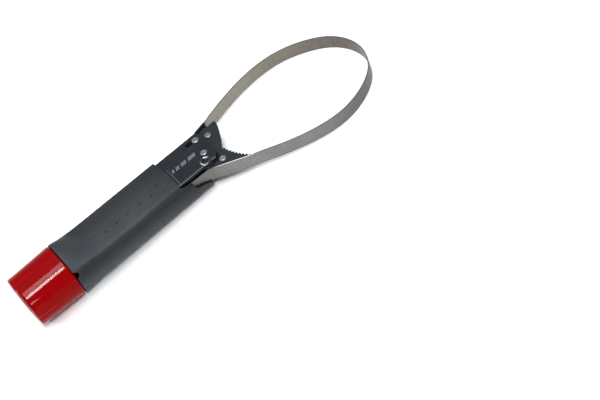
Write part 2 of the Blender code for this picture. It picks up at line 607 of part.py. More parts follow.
def make_knob():
    wall = 2.2
    front, rear = KNOB_FRONT, KNOB_REAR
    hub_front = -120.6
    profile = [(hub_front, 6.6), (hub_front, 9.0), (front - 0.5, 9.6), (rear + 9, 10.4), (rear + 9, 16.4),
               (front - 4, KNOB_FRONT_RADIUS - wall), (front, KNOB_FRONT_RADIUS - wall + 0.3),
               (front, KNOB_FRONT_RADIUS - 0.3), (front - 0.3, KNOB_FRONT_RADIUS),
               (rear + 1.4, KNOB_REAR_RADIUS), (rear + 0.4, KNOB_REAR_RADIUS - 0.5), (rear, KNOB_REAR_RADIUS - 1.4),
               (rear, 8.6), (rear + 6, 8.6), (rear + 6, 2.8), (rear + 11, 2.8), (rear + 11, 6.6)]
    cap = turned("knob_cap", "knob", (0, 0, 0), (1, 0, 0), profile, "knob_red", 50, closed=True)
    for i in range(FLUTES):
        a = 2 * pi * i / FLUTES + radians(FIRST_FLUTE_DEG)
        reach = KNOB_REAR_RADIUS + FLUTE_RADIUS - FLUTE_DEPTH
        start = Vector((rear - 3, reach * cos(a), reach * sin(a)))
        end = Vector((front - 3, (reach + FLUTE_RISE) * cos(a), (reach + FLUTE_RISE) * sin(a)))
        length = (end - start).length
        drill(cap, f"flute_{i:02d}", "knob", start, (end - start).normalized(), length, FLUTE_RADIUS, 14)

    insert = rod("knob_insert", "knob", (-142.0, 0, 0), (1, 0, 0), 20.0, 6.3, "zinc_steel", 6)
    drill(insert, "insert_bore", "knob", (-150, 0, 0), (1, 0, 0), 40, 4.6, 4)
    turned("knob_washer", "knob", (0, 0, 0), (1, 0, 0),
           [(rear + 5.7, 2.7), (rear + 5.7, 6.4), (rear + 4.9, 6.4), (rear + 4.9, 2.7)], "zinc_steel", 20, closed=True)
    nut = rod("knob_nut", "knob", (rear + 1.9, 0, 0), (1, 0, 0), 2.7, 4.8, "zinc_steel", 6)
    drill(nut, "nut_thread", "knob", (rear - 5, 0, 0), (1, 0, 0), 20, 2.7, 20)
    rod("knob_end_plug", "knob", (rear + 0.2, 0, 0), (1, 0, 0), 1.2, 8.3, "black_plastic", 32)


# ---------------------------------------------------------------- build

clear_scene()
PARTS = collection("strap_wrench")
CUTTERS = collection("cutters")
WRENCH = empty("wrench_frame", FRAME_SHIFT)
BODIES = {name: empty(name + "_body", origin, WRENCH) for name, origin in BODY_ORIGINS.items()}
FINISHES = {
    "black_steel": material("black_steel", (0.012, 0.013, 0.018), 0.28, 0.5),
    "grip_plastic": material("grip_plastic", (0.075, 0.082, 0.095), 0.62),
    "knob_red": material("knob_red", (0.52, 0.0, 0.012), 0.16),
    "black_plastic": material("black_plastic", (0.015, 0.015, 0.016), 0.5),
    "strap_steel": material("strap_steel", (0.47, 0.45, 0.42), 0.36, 0.9),
    "rivet_steel": material("rivet_steel", (0.7, 0.71, 0.73), 0.2, 1.0),
    "zinc_steel": material("zinc_steel", (0.58, 0.59, 0.6), 0.35, 1.0),
    "bronze": material("bronze", (0.55, 0.38, 0.18), 0.35, 1.0),
    "nylon": material("nylon", (0.78, 0.77, 0.72), 0.5),
}
make_channel()
make_grip()
make_bearings()
make_pivot()
make_head()
make_head_rivets()
make_strap()
make_traveller()
make_lead_screw()
make_knob()
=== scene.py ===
import json
from math import atan2, cos, dist, hypot, pi, radians, sin, tan

import bmesh
import bpy
from mathutils import Matrix, Vector

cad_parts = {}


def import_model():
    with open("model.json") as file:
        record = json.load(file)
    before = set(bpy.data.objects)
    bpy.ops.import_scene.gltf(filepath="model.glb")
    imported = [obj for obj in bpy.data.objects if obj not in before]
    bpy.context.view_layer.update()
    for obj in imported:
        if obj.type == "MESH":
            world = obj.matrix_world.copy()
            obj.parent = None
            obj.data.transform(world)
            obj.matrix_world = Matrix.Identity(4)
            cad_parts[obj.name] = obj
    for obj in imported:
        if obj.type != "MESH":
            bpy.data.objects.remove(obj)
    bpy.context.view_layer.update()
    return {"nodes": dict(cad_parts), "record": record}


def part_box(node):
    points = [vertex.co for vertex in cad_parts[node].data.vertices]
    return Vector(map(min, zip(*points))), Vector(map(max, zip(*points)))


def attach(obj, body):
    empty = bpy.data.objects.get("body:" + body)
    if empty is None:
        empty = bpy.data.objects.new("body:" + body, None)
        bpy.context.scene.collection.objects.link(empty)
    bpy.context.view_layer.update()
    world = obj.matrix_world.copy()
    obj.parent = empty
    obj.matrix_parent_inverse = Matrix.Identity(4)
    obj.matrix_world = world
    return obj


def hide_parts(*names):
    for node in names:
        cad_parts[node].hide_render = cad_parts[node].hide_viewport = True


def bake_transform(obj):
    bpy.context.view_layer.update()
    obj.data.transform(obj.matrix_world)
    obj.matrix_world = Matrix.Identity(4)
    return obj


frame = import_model()

# Looks of the filter strap wrench. Sizes are in millimetres in the handle frame of the CAD source:
# +X from the knob to the head, +Y to the left, +Z along the pivot, y = 0 on the knob's axis.
MM = 0.001
PIVOT = (0.0, -14.0)
pivot_low, pivot_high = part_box("pivot_rivet")
ORIGIN = (pivot_low + pivot_high) / 2 - Vector((*PIVOT, 0.0)) * MM

CHANNEL_HALF_WIDTH, CHANNEL_HALF_HEIGHT, CHANNEL_WALL, CHANNEL_CORNER = 17.0, 9.0, 1.8, 2.2
CHANNEL_REAR, NOSE_X, NOSE_LEFT_RADIUS, NOSE_RIGHT_RADIUS = -119.0, 12.3, 6.0, 9.3
GRIP_REAR, GRIP_REAR_RADIUS, GRIP_ROUND_LENGTH, GRIP_WALL = -123.4, 21.1, 28.0, 1.1
GRIP_HALF_HEIGHT, GRIP_MOUTH, MOUTH_CROWN = 10.4, -27.0, 0.7
NOTCH_DEG, NOTCH_HALF_DEG, NOTCH_DEPTH = 157.0, 7.0, 2.7
PLATE_LOW, PLATE_HIGH, CORE_HALF_HEIGHT = 3.9, 5.5, 3.6
STOP_PIN, GUIDE_RIVET = (6.9, 9.2), (3.8, -6.2)
HEAD_RIVETS = {"rivet_upper": (16.9, 8.8), "rivet_lower": (10.5, -19.3)}
SWING_DEG, RIVET_SHANK, SLOT_GAP, PIVOT_HOLE = 16.0, 1.7, 0.4, 3.3
STRAP_HALF_WIDTH, STRAP_THICKNESS, GAP = 6.0, 0.6, 0.3
ANCHOR_START, ANCHOR_END, ANCHOR_HALF_WALL = Vector((12.4, 18.15)), Vector((22.4, 20.65)), 0.75
STRAP_LINE_DEG, STRAP_CORNER, TAIL_Y, TRAVELLER_X = -29.0, (-2.5, -19.0), -17.9, -79.0
JAW_CENTRE, JAW_RADIUS, JAW_FIRST_DEG, JAW_LAST_DEG = (71.7, -2.1), 54.9, 188.0, 214.6
KNOB_REAR, KNOB_FRONT, KNOB_REAR_RADIUS, KNOB_FRONT_RADIUS = -161.0, -124.2, 20.1, 21.1
FLUTES, FIRST_FLUTE_DEG = 8, 6.0


# ---------------------------------------------------------------- materials

class Look:
    """A procedural material being made: its nodes and its Principled shader."""

    def __init__(self, name, colour, roughness, metallic=0.0):
        self.material = bpy.data.materials.new(name)
        self.material.use_nodes = True
        self.tree = self.material.node_tree
        self.shader = self.tree.nodes["Principled BSDF"]
        self.set("Base Color", (*colour, 1.0))
        self.set("Roughness", roughness)
        self.set("Metallic", metallic)
        self.place = self.node("ShaderNodeTexCoord").outputs["Object"]
        self.relief = None

    def set(self, socket, value):
        self.shader.inputs[socket].default_value = value

    def node(self, kind, **settings):
        made = self.tree.nodes.new(kind)
        for key, value in settings.items():
            setattr(made, key, value)
        return made

    def feed(self, socket, source):
        if isinstance(source, bpy.types.NodeSocket):
            self.tree.links.new(source, socket)
        else:
            socket.default_value = source

    def stretched(self, scale, source=None):
        """Coordinates, each axis multiplied by its own scale."""
        made = self.node("ShaderNodeMapping")
        self.feed(made.inputs["Vector"], source or self.place)
        made.inputs["Scale"].default_value = scale
        return made.outputs["Vector"]

    def noise(self, scale, detail=3.0, roughness=0.5, distortion=0.0, source=None):
        made = self.node("ShaderNodeTexNoise")
        self.feed(made.inputs["Vector"], source or self.place)
        made.inputs["Scale"].default_value = scale
        made.inputs["Detail"].default_value = detail
        made.inputs["Roughness"].default_value = roughness
        made.inputs["Distortion"].default_value = distortion
        return made.outputs["Fac"]

    def voronoi(self, scale, source=None, feature="F1"):
        made = self.node("ShaderNodeTexVoronoi", feature=feature)
        self.feed(made.inputs["Vector"], source or self.place)
        made.inputs["Scale"].default_value = scale
        return made.outputs["Distance"]

    def ramp(self, factor, *stops):
        """A colour ramp over (position, colour or grey) stops."""
        made = self.node("ShaderNodeValToRGB")
        self.feed(made.inputs["Fac"], factor)
        band = made.color_ramp
        while len(band.elements) < len(stops):
            band.elements.new(0.5)
        for element, (position, value) in zip(band.elements, stops):
            element.position = position
            element.color = (*value, 1.0) if isinstance(value, tuple) else (value, value, value, 1.0)
        return made.outputs["Color"]

    def mix(self, factor, first, second, mode="MIX"):
        made = self.node("ShaderNodeMix", data_type="RGBA", blend_type=mode)
        self.feed(made.inputs["Factor"], factor)
        for socket, source in ((made.inputs["A"], first), (made.inputs["B"], second)):
            if isinstance(source, tuple) and len(source) == 3:
                source = (*source, 1.0)
            self.feed(socket, source)
        return made.outputs["Result"]

    def math(self, operation, first, second=0.0, clamp=False):
        made = self.node("ShaderNodeMath", operation=operation, use_clamp=clamp)
        self.feed(made.inputs[0], first)
        self.feed(made.inputs[1], second)
        return made.outputs["Value"]

    def span(self, source, low, high, out_low=0.0, out_high=1.0):
        made = self.node("ShaderNodeMapRange", clamp=True)
        self.feed(made.inputs["Value"], source)
        for name, value in (("From Min", low), ("From Max", high), ("To Min", out_low), ("To Max", out_high)):
            made.inputs[name].default_value = value
        return made.outputs["Result"]

    def axis(self, letter, source=None):
        made = self.node("ShaderNodeSeparateXYZ")
        self.feed(made.inputs["Vector"], source or self.place)
        return made.outputs[letter]

    def bump(self, height, strength, distance):
        made = self.node("ShaderNodeBump")
        made.inputs["Strength"].default_value = strength
        made.inputs["Distance"].default_value = distance
        self.feed(made.inputs["Height"], height)
        if self.relief is not None:
            self.feed(made.inputs["Normal"], self.relief)
        self.relief = made.outputs["Normal"]
        self.feed(self.shader.inputs["Normal"], self.relief)

    def colour(self, source):
        self.feed(self.shader.inputs["Base Color"], source)

    def rough(self, source):
        self.feed(self.shader.inputs["Roughness"], source)


def black_paint(name, sheen, wall_shade=1.0, edge_light_strength=0.0):
    """Gloss black paint over pressed steel: orange peel, dust and fine rubs, with an optional painted shade on
    the right side wall and an optional painted highlight line along the long right edge.
    """
    look = Look(name, (0.012, 0.013, 0.017), 0.2)
    dust = look.noise(90.0, 6.0, 0.62)
    cloud = look.noise(28.0, 3.0)
    base = look.mix(cloud, (0.006, 0.0085, 0.0115), (0.0115, 0.0145, 0.0185))
    specks = look.ramp(look.noise(900.0, 2.0, 0.6), (0.66, 0.0), (0.72, 1.0))
    base = look.mix(look.math("MULTIPLY", specks, 0.35), base, (0.12, 0.13, 0.14))
    # Painted shade: beyond the long right edge the colour is multiplied down, darkening the side wall.
    right = look.math("SUBTRACT", look.axis("Y"), ORIGIN.y)
    shade = look.span(right, -0.0169, -0.0163, wall_shade, 1.0)
    base = look.mix(1.0, base, shade, "MULTIPLY")
    # Painted highlight: a thin lighter line along the long right edge, broken up by the cloud noise.
    painted_edge_light = look.ramp(look.span(right, -0.017, -0.015), (0.32, 0.0), (0.42, edge_light_strength), (0.5, edge_light_strength),
                     (0.6, 0.0))
    painted_edge_light = look.math("MULTIPLY", painted_edge_light, look.span(cloud, 0.3, 0.6, 0.6, 1.0))
    look.colour(look.mix(painted_edge_light, base, (0.17, 0.19, 0.185)))
    rubs = look.noise(60.0, 5.0, 0.7, source=look.stretched((1.0, 14.0, 14.0)))
    mixed = look.math("ADD", look.math("MULTIPLY", dust, 0.6), look.math("MULTIPLY", rubs, 0.4))
    look.rough(look.span(mixed, 0.35, 0.68, 0.16, 0.38))
    look.set("Specular IOR Level", sheen)
    look.bump(look.noise(520.0, 2.0), 0.12, 0.0002)
    look.bump(look.noise(70.0, 2.0), 0.12, 0.0006)
    return look.material


def rolled_rim():
    """The pivot's black rolled head, with painted highlights: two crescents of unpainted metal on its rim, placed
    where the light catches it.
    """
    look = Look("pivot_rim", (0.008, 0.009, 0.012), 0.1)
    look.set("Specular IOR Level", 0.9)
    right = look.math("SUBTRACT", look.axis("X"), ORIGIN.x + PIVOT[0] * MM)
    left = look.math("SUBTRACT", look.axis("Y"), ORIGIN.y + PIVOT[1] * MM)
    reach = look.math("SQRT", look.math("ADD", look.math("POWER", right, 2.0), look.math("POWER", left, 2.0)))
    # Painted highlights: a metal crescent on the outer rim towards -X and a small one on the inner rim towards +X
    # and +Y.
    back = look.math("ADD", look.math("MULTIPLY", right, -0.97), look.math("MULTIPLY", left, -0.25))
    fore = look.math("ADD", look.math("MULTIPLY", right, 0.6), look.math("MULTIPLY", left, 0.8))
    outer = look.math("MULTIPLY", look.span(back, 0.0029, 0.0033), look.span(reach, 0.0039, 0.0041))
    inner = look.math("MULTIPLY", look.span(fore, 0.0021, 0.0025), look.span(reach, 0.0028, 0.003, 1.0, 0.0))
    painted_glint = look.math("MAXIMUM", outer, inner)
    look.colour(look.mix(painted_glint, (0.008, 0.009, 0.012), (0.8, 0.81, 0.82)))
    look.feed(look.shader.inputs["Metallic"], painted_glint)
    look.rough(look.math("ADD", look.span(look.noise(300.0, 4.0), 0.3, 0.7, 0.07, 0.14),
                         look.math("MULTIPLY", painted_glint, 0.3)))
    look.bump(look.noise(500.0, 2.0), 0.08, 0.0002)
    return look.material


def grip_plastic():
    """Matt blue-grey moulded grip: mould grain and faint mottling, with painted shade: the top face darker to the
    left, a dark band under the shoulders and a darker front end.
    """
    look = Look("grip_moulding", (0.05, 0.056, 0.064), 0.6)
    mottle = look.noise(45.0, 5.0, 0.6)
    base = look.mix(look.span(mottle, 0.3, 0.7), (0.038, 0.0435, 0.049), (0.052, 0.059, 0.065))
    grain = look.noise(1500.0, 2.0, 0.55)
    base = look.mix(look.span(grain, 0.35, 0.68, 0.0, 0.4), base, (0.025, 0.028, 0.032))
    # Painted shade: the top face darkens from right to left and the sides darken upwards into a dark band under
    # the shoulders; drift makes the edges of these ramps wander with the mottling.
    drift = look.math("MULTIPLY", look.math("SUBTRACT", mottle, 0.5),
                      look.span(look.axis("Z"), -0.004, 0.001, 0.0, 0.004))
    across = look.math("ADD", look.math("SUBTRACT", look.axis("Y"), ORIGIN.y), drift)
    upward = look.math("ADD", look.axis("Z"), drift)
    top = look.ramp(look.span(across, -0.02, 0.02), (0.08, 1.0), (0.15, 0.93), (0.35, 0.82), (0.5, 0.76),
                    (0.65, 0.58), (0.8, 0.48), (0.9, 0.56))
    side = look.ramp(look.span(upward, -0.01, 0.01), (0.0, 0.7), (0.3, 1.0), (0.5, 0.62), (0.6, 0.46),
                     (0.7, 0.36), (0.9, 0.3), (0.97, 0.46))
    beside = look.span(look.math("ABSOLUTE", across), 0.0172, 0.0184)
    shade = look.mix(beside, top, side)
    # Painted shade: darker towards the mouth.
    mouth = look.span(look.axis("X"), -0.05, -0.018, 1.0, 0.74)
    base = look.mix(1.0, base, look.mix(1.0, shade, mouth, "MULTIPLY"), "MULTIPLY")
    specks = look.ramp(look.noise(430.0, 2.0, 0.6), (0.68, 0.0), (0.74, 1.0))
    base = look.mix(look.math("MULTIPLY", specks, 0.3), base, (0.1, 0.105, 0.115))
    look.colour(base)
    look.rough(look.span(mottle, 0.3, 0.7, 0.52, 0.68))
    look.set("Specular IOR Level", 0.22)
    look.bump(grain, 0.22, 0.0003)
    look.bump(look.voronoi(1150.0), 0.12, 0.0002)
    look.bump(look.noise(60.0, 3.0), 0.25, 0.0012)
    return look.material


def knob_red():
    """Glossy deep red moulding under a clear surface, with faint flow streaks along its length."""
    look = Look("knob_red_gloss", (0.32, 0.0, 0.002), 0.1)
    flow = look.noise(120.0, 4.0, 0.6, source=look.stretched((0.18, 1.0, 1.0)))
    look.colour(look.mix(look.span(flow, 0.32, 0.7), (0.19, 0.0, 0.0005), (0.255, 0.0, 0.001)))
    look.set("Specular IOR Level", 0.06)
    smear = look.noise(35.0, 5.0, 0.65)
    look.rough(look.span(smear, 0.35, 0.7, 0.07, 0.18))
    look.bump(look.noise(260.0, 2.0), 0.06, 0.0004)
    look.bump(look.noise(40.0, 2.0, source=look.stretched((0.4, 1.0, 1.0))), 0.1, 0.001)
    return look.material


def strap_steel():
    """Rolled spring steel: fine lines along and across the band, faint tints and darker borders, with painted
    light: a lighter, warmer inner face, painted shade along the band and a painted highlight line on its edges.
    """
    look = Look("strap_spring_steel", (0.3, 0.29, 0.27), 0.36, 1.0)
    run = look.node("ShaderNodeUVMap", uv_map="run").outputs["UV"]
    patches = look.noise(1.0, 4.0, 0.6, 0.6, look.stretched((38.0, 22.0, 1.0), run))
    # Painted light: the inner face takes the warmer, lighter copy of the steel's colours and the outer face the
    # cooler, darker one.
    inner = look.span(look.axis("Y", run), 0.008, 0.012)
    cool = look.ramp(patches, (0.3, (0.215, 0.212, 0.2)), (0.44, (0.26, 0.255, 0.24)),
                     (0.54, (0.245, 0.238, 0.237)), (0.64, (0.272, 0.25, 0.245)), (0.76, (0.225, 0.238, 0.222)))
    warm = look.ramp(patches, (0.3, (0.28, 0.27, 0.21)), (0.44, (0.365, 0.34, 0.262)),
                     (0.54, (0.35, 0.312, 0.275)), (0.64, (0.4, 0.335, 0.295)), (0.76, (0.305, 0.32, 0.22)))
    lines = look.noise(1.0, 3.0, 0.65, 0.0, look.stretched((60.0, 5200.0, 1.0), run))
    spots = look.noise(1.0, 5.0, 0.7, 0.0, look.stretched((700.0, 500.0, 1.0), run))
    rungs = look.noise(1.0, 2.0, 0.6, 0.0, look.stretched((900.0, 40.0, 1.0), run))
    base = look.mix(look.span(lines, 0.3, 0.7, 0.0, 0.5), look.mix(inner, cool, warm), (0.13, 0.127, 0.12))
    base = look.mix(look.span(rungs, 0.45, 0.7, 0.0, 0.35), base, (0.14, 0.137, 0.13))
    base = look.mix(look.span(spots, 0.45, 0.7, 0.0, 0.4), base, (0.11, 0.105, 0.095))
    # Painted shade along the band: darker near the grip's mouth and towards the loop's far end, lightest between.
    bend = look.ramp(look.span(look.axis("X"), -0.04, 0.16), (0.15, 0.6), (0.3, 0.98), (0.55, 0.92), (0.85, 0.62),
                     (0.97, 0.46))
    base = look.mix(1.0, base, bend, "MULTIPLY")
    border = look.span(look.math("ABSOLUTE", look.axis("Z")), 0.0052, 0.0057, 1.0, 0.42)
    base = look.mix(1.0, base, border, "MULTIPLY")
    # Painted highlight: the rounded edges are drawn as a thin line, bright over one stretch of the loop and dark
    # elsewhere.
    edge = look.span(look.math("ABSOLUTE", look.axis("Z")), 0.00575, 0.00592)
    painted_edge_light = look.ramp(look.span(look.axis("X"), 0.0, 0.05), (0.14, 0.1), (0.28, 0.8), (0.66, 0.8), (0.74, 0.2))
    look.colour(look.mix(edge, base, look.mix(painted_edge_light, (0.0, 0.0, 0.0), (1.0, 1.0, 0.98))))
    mixed = look.math("ADD", look.math("MULTIPLY", lines, 0.55), look.math("MULTIPLY", patches, 0.45))
    look.rough(look.span(mixed, 0.35, 0.65, 0.3, 0.5))
    look.bump(lines, 0.1, 0.0001)
    look.bump(look.noise(1.0, 2.0, 0.5, 0.0, look.stretched((90.0, 60.0, 1.0), run)), 0.15, 0.0006)
    return look.material


def metal(name, dark, light, smooth_low, smooth_high, grain=700.0, relief=0.1):
    """Bare or plated metal with handling marks."""
    look = Look(name, light, smooth_low, 1.0)
    marks = look.noise(grain / 4, 5.0, 0.65)
    look.colour(look.mix(look.span(marks, 0.3, 0.72), light, dark))
    look.rough(look.span(look.noise(grain / 7, 4.0, 0.6), 0.32, 0.7, smooth_low, smooth_high))
    look.bump(look.noise(grain, 3.0, 0.6), relief, 0.0002)
    return look.material


def plastic(name, dark, light, smooth_low, smooth_high, sheen=0.5):
    """Plain moulded plastic with a fine grain."""
    look = Look(name, light, smooth_low)
    look.set("Specular IOR Level", sheen)
    look.colour(look.mix(look.span(look.noise(160.0, 4.0), 0.3, 0.7), dark, light))
    look.rough(look.span(look.noise(90.0, 3.0), 0.3, 0.7, smooth_low, smooth_high))
    look.bump(look.noise(1300.0, 2.0), 0.15, 0.0002)
    return look.material


def floor_paper():
    look = Look("floor_paper", (0.9, 0.9, 0.9), 0.75)
    look.colour(look.mix(look.noise(3.0, 3.0), (0.945, 0.945, 0.945), (0.965, 0.965, 0.965)))
    look.set("Specular IOR Level", 0.2)
    return look.material


LOOKS = {
    "black_steel": black_paint("black_paint", 0.5),
    "grip_plastic": grip_plastic(),
    "knob_red": knob_red(),
    "black_plastic": plastic("plug_black", (0.012, 0.012, 0.013), (0.022, 0.022, 0.024), 0.4, 0.6),
    "strap_steel": strap_steel(),
    "rivet_steel": metal("rivet_plating", (0.17, 0.18, 0.19), (0.33, 0.34, 0.35), 0.36, 0.6),
    "zinc_steel": metal("zinc_plating", (0.38, 0.38, 0.37), (0.6, 0.61, 0.61), 0.26, 0.45),
    "bronze": metal("bearing_bronze", (0.32, 0.2, 0.08), (0.56, 0.38, 0.19), 0.28, 0.45),
    "nylon": plastic("nylon_white", (0.68, 0.67, 0.6), (0.78, 0.77, 0.72), 0.4, 0.55),
}
# The channel's paint: painted shade on its right side wall and a painted highlight line along its right edge.
CHANNEL_PAINT = black_paint("channel_paint", 0.34, 0.1, 0.75)
# Light grey paint for the low ridge on the channel.
LIGHT_GREY_RIDGE_PAINT = plastic("light_grey_ridge_paint", (0.05, 0.055, 0.058), (0.13, 0.14, 0.145), 0.25, 0.4)
DULL_BLACK = plastic("dull_black", (0.006, 0.007, 0.008), (0.011, 0.012, 0.013), 0.8, 0.95, 0.1)
SILVER_INK = metal("mark_silver", (0.2, 0.22, 0.25), (0.32, 0.35, 0.39), 0.3, 0.45)


# ---------------------------------------------------------------- shapes

def world(points):
    return [Vector(p) * MM + ORIGIN for p in points]


def arc(centre, radius, first, last, steps):
    """Points of an arc, in degrees from first to last, both ends included."""
    turn = [radians(first + (last - first) * i / steps) for i in range(steps + 1)]
    return [(centre[0] + radius * cos(a), centre[1] + radius * sin(a)) for a in turn]


def rounded(points, radius, steps=4, closed=True):
    """Cuts each corner of a path with a short curve; a point may carry its own radius as a third number."""
    count = len(points)
    path = []
    for i, point in enumerate(points):
        here = Vector(point[:2])
        if not closed and i in (0, count - 1):
            path.append(tuple(here))
            continue
        before, after = Vector(points[i - 1][:2]) - here, Vector(points[(i + 1) % count][:2]) - here
        reach = point[2] if len(point) > 2 else radius
        bend = before.angle(after, pi)
        if reach <= 0 or bend > pi - 0.03:
            path.append(tuple(here))
            continue
        cut = min(reach / tan(bend / 2), before.length * 0.48, after.length * 0.48)
        a, b = here + before.normalized() * cut, here + after.normalized() * cut
        for k in range(steps + 1):
            t = k / steps
            path.append(tuple((1 - t) ** 2 * a + 2 * t * (1 - t) * here + t * t * b))
    return path


def smooth_path(points, pieces):
    """Points along a Catmull-Rom curve through the given ones."""
    ends = [2 * Vector(points[0]) - Vector(points[1])] + [Vector(p) for p in points]
    ends.append(2 * ends[-1] - ends[-2])
    path = []
    for a, b, c, d in zip(ends, ends[1:], ends[2:], ends[3:]):
        for i in range(pieces):
            t = i / pieces
            path.append(0.5 * ((2 * b) + (c - a) * t + (2 * a - 5 * b + 4 * c - d) * t * t
                               + (3 * b - a - 3 * c + d) * t ** 3))
    return [tuple(p) for p in path] + [tuple(points[-1])]


def evened(path, step):
    """The same path, with its points about a step apart."""
    lengths = [0.0]
    for a, b in zip(path, path[1:]):
        lengths.append(lengths[-1] + dist(a, b))
    count = max(2, round(lengths[-1] / step))
    out, i = [], 0
    for k in range(count + 1):
        want = lengths[-1] * k / count
        while i < len(path) - 2 and lengths[i + 1] < want:
            i += 1
        t = (want - lengths[i]) / max(lengths[i + 1] - lengths[i], 1e-9)
        out.append(tuple(Vector(path[i]).lerp(Vector(path[i + 1]), t)))
    return out


def grid(name, rows, wrap_rows=False, wrap_columns=True):
    """A mesh over rows of points (mm, handle frame)."""
    count = len(rows[0])
    vertices = [v for row in rows for v in world(row)]
    faces = []
    for j in range(len(rows) if wrap_rows else len(rows) - 1):
        k = (j + 1) % len(rows)
        for i in range(count if wrap_columns else count - 1):
            n = (i + 1) % count
            faces.append((j * count + i, j * count + n, k * count + n, k * count + i))
    mesh = bpy.data.meshes.new(name)
    mesh.from_pydata(vertices, [], faces)
    return welded(mesh)


def welded(mesh, gap=2e-6):
    shape = bmesh.new()
    shape.from_mesh(mesh)
    bmesh.ops.remove_doubles(shape, verts=shape.verts, dist=gap)
    bmesh.ops.dissolve_degenerate(shape, edges=shape.edges, dist=1e-7)
    bmesh.ops.recalc_face_normals(shape, faces=shape.faces)
    shape.to_mesh(mesh)
    shape.free()
    return mesh


def lathe(name, start, axis, profile, sides=64, closed=False):
    """Turns a profile of (height, radius) points about an axis through start."""
    turn = Vector((0, 0, 1)).rotation_difference(Vector(axis)).to_matrix()
    rows = []
    for height, radius in profile:
        ring = [Vector((radius * cos(2 * pi * i / sides), radius * sin(2 * pi * i / sides), height))
                for i in range(sides)]
        rows.append([turn @ p + Vector(start) for p in ring])
    return grid(name, rows, wrap_rows=closed)


def plate(name, outlines, low, high, edge):
    """Flat outlines (the first is the outside, the others are holes) made into a plate with rounded edges."""
    curve = bpy.data.curves.new(name, "CURVE")
    curve.dimensions = "2D"
    curve.fill_mode = "BOTH"
    curve.extrude = (high - low) / 2 - edge
    curve.bevel_depth = edge
    curve.bevel_resolution = 2
    curve.offset = -edge
    for outline in outlines:
        spline = curve.splines.new("POLY")
        spline.points.add(len(outline) - 1)
        for point, (x, y) in zip(spline.points, outline):
            point.co = (x, y, 0, 1)
        spline.use_cyclic_u = True
    guide = bpy.data.objects.new(name + "_outline", curve)
    bpy.context.scene.collection.objects.link(guide)
    graph = bpy.context.evaluated_depsgraph_get()
    mesh = bpy.data.meshes.new_from_object(guide.evaluated_get(graph))
    bpy.data.objects.remove(guide, do_unlink=True)
    bpy.data.curves.remove(curve)
    mesh.name = name
    mesh.transform(Matrix.Translation((0, 0, (low + high) / 2)))
    place_in_world(mesh)
    return welded(mesh, 1e-6)


def place_in_world(mesh):
    mesh.transform(Matrix.Translation(ORIGIN) @ Matrix.Scale(MM, 4))


def solid(name, outline, low, high, plane="XY"):
    """A sharp extruded outline, used for cutting and joining, still in millimetres."""
    shape = bmesh.new()
    turn = {"XY": lambda u, v, w: (u, v, w), "XZ": lambda u, v, w: (u, w, v),
            "YZ": lambda u, v, w: (w, u, v)}[plane]
    rings = [[shape.verts.new(turn(u, v, w)) for u, v in outline] for w in (low, high)]
    shape.faces.new(rings[0])
    shape.faces.new(rings[1])
    for i in range(len(outline)):
        k = (i + 1) % len(outline)
        shape.faces.new((rings[0][i], rings[0][k], rings[1][k], rings[1][i]))
    bmesh.ops.recalc_face_normals(shape, faces=shape.faces)
    mesh = bpy.data.meshes.new(name)
    shape.to_mesh(mesh)
    shape.free()
    made = bpy.data.objects.new(name, mesh)
    bpy.context.scene.collection.objects.link(made)
    return made


def carved(name, first, steps):
    """Applies (operation, solid) steps to the first solid and returns the mesh, in the world."""
    for operation, tool in steps:
        cut = first.modifiers.new(tool.name, "BOOLEAN")
        cut.operation = operation
        cut.solver = "EXACT"
        cut.object = tool
    graph = bpy.context.evaluated_depsgraph_get()
    mesh = bpy.data.meshes.new_from_object(first.evaluated_get(graph))
    mesh.name = name
    for tool in [first] + [t for _, t in steps]:
        bpy.data.objects.remove(tool, do_unlink=True)
    place_in_world(mesh)
    return welded(mesh, 1e-6)


def bevelled(made, width, segments=3, degrees=30):
    edge = made.modifiers.new("edge", "BEVEL")
    edge.width = width * MM
    edge.segments = segments
    edge.limit_method = "ANGLE"
    edge.angle_limit = radians(degrees)
    edge.harden_normals = True
    edge.use_clamp_overlap = True
    return made


def piece(name, mesh, slot, nodes=(), body=None, sharp=40, look=None):
    """Adds a finished mesh as a piece that stands for CAD nodes, with the look of a material slot."""
    made = bpy.data.objects.new(name, mesh)
    bpy.context.scene.collection.objects.link(made)
    mesh.materials.clear()
    mesh.materials.append(look or LOOKS[slot])
    mesh.shade_smooth()
    mesh.set_sharp_from_angle(angle=radians(sharp))
    if body:
        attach(made, body)
    if nodes:
        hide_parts(*nodes)
    return made


# ---------------------------------------------------------------- handle

def swing_slot(pin, turn, half):
    """A slot's outline round the pivot, from a pin's place at rest through a turn in degrees."""
    reach = dist(pin, PIVOT)
    first = atan2(pin[1] - PIVOT[1], pin[0] - PIVOT[0]) * 180 / pi
    low, high = sorted((first, first + turn))
    low_end, high_end = arc(PIVOT, reach, low, high, 1)
    return (arc(PIVOT, reach + half, low, high, 12) + arc(high_end, half, high, high + 180, 12)[1:-1]
            + arc(PIVOT, reach - half, high, low, 12) + arc(low_end, half, low + 180, low + 360, 12)[1:-1])


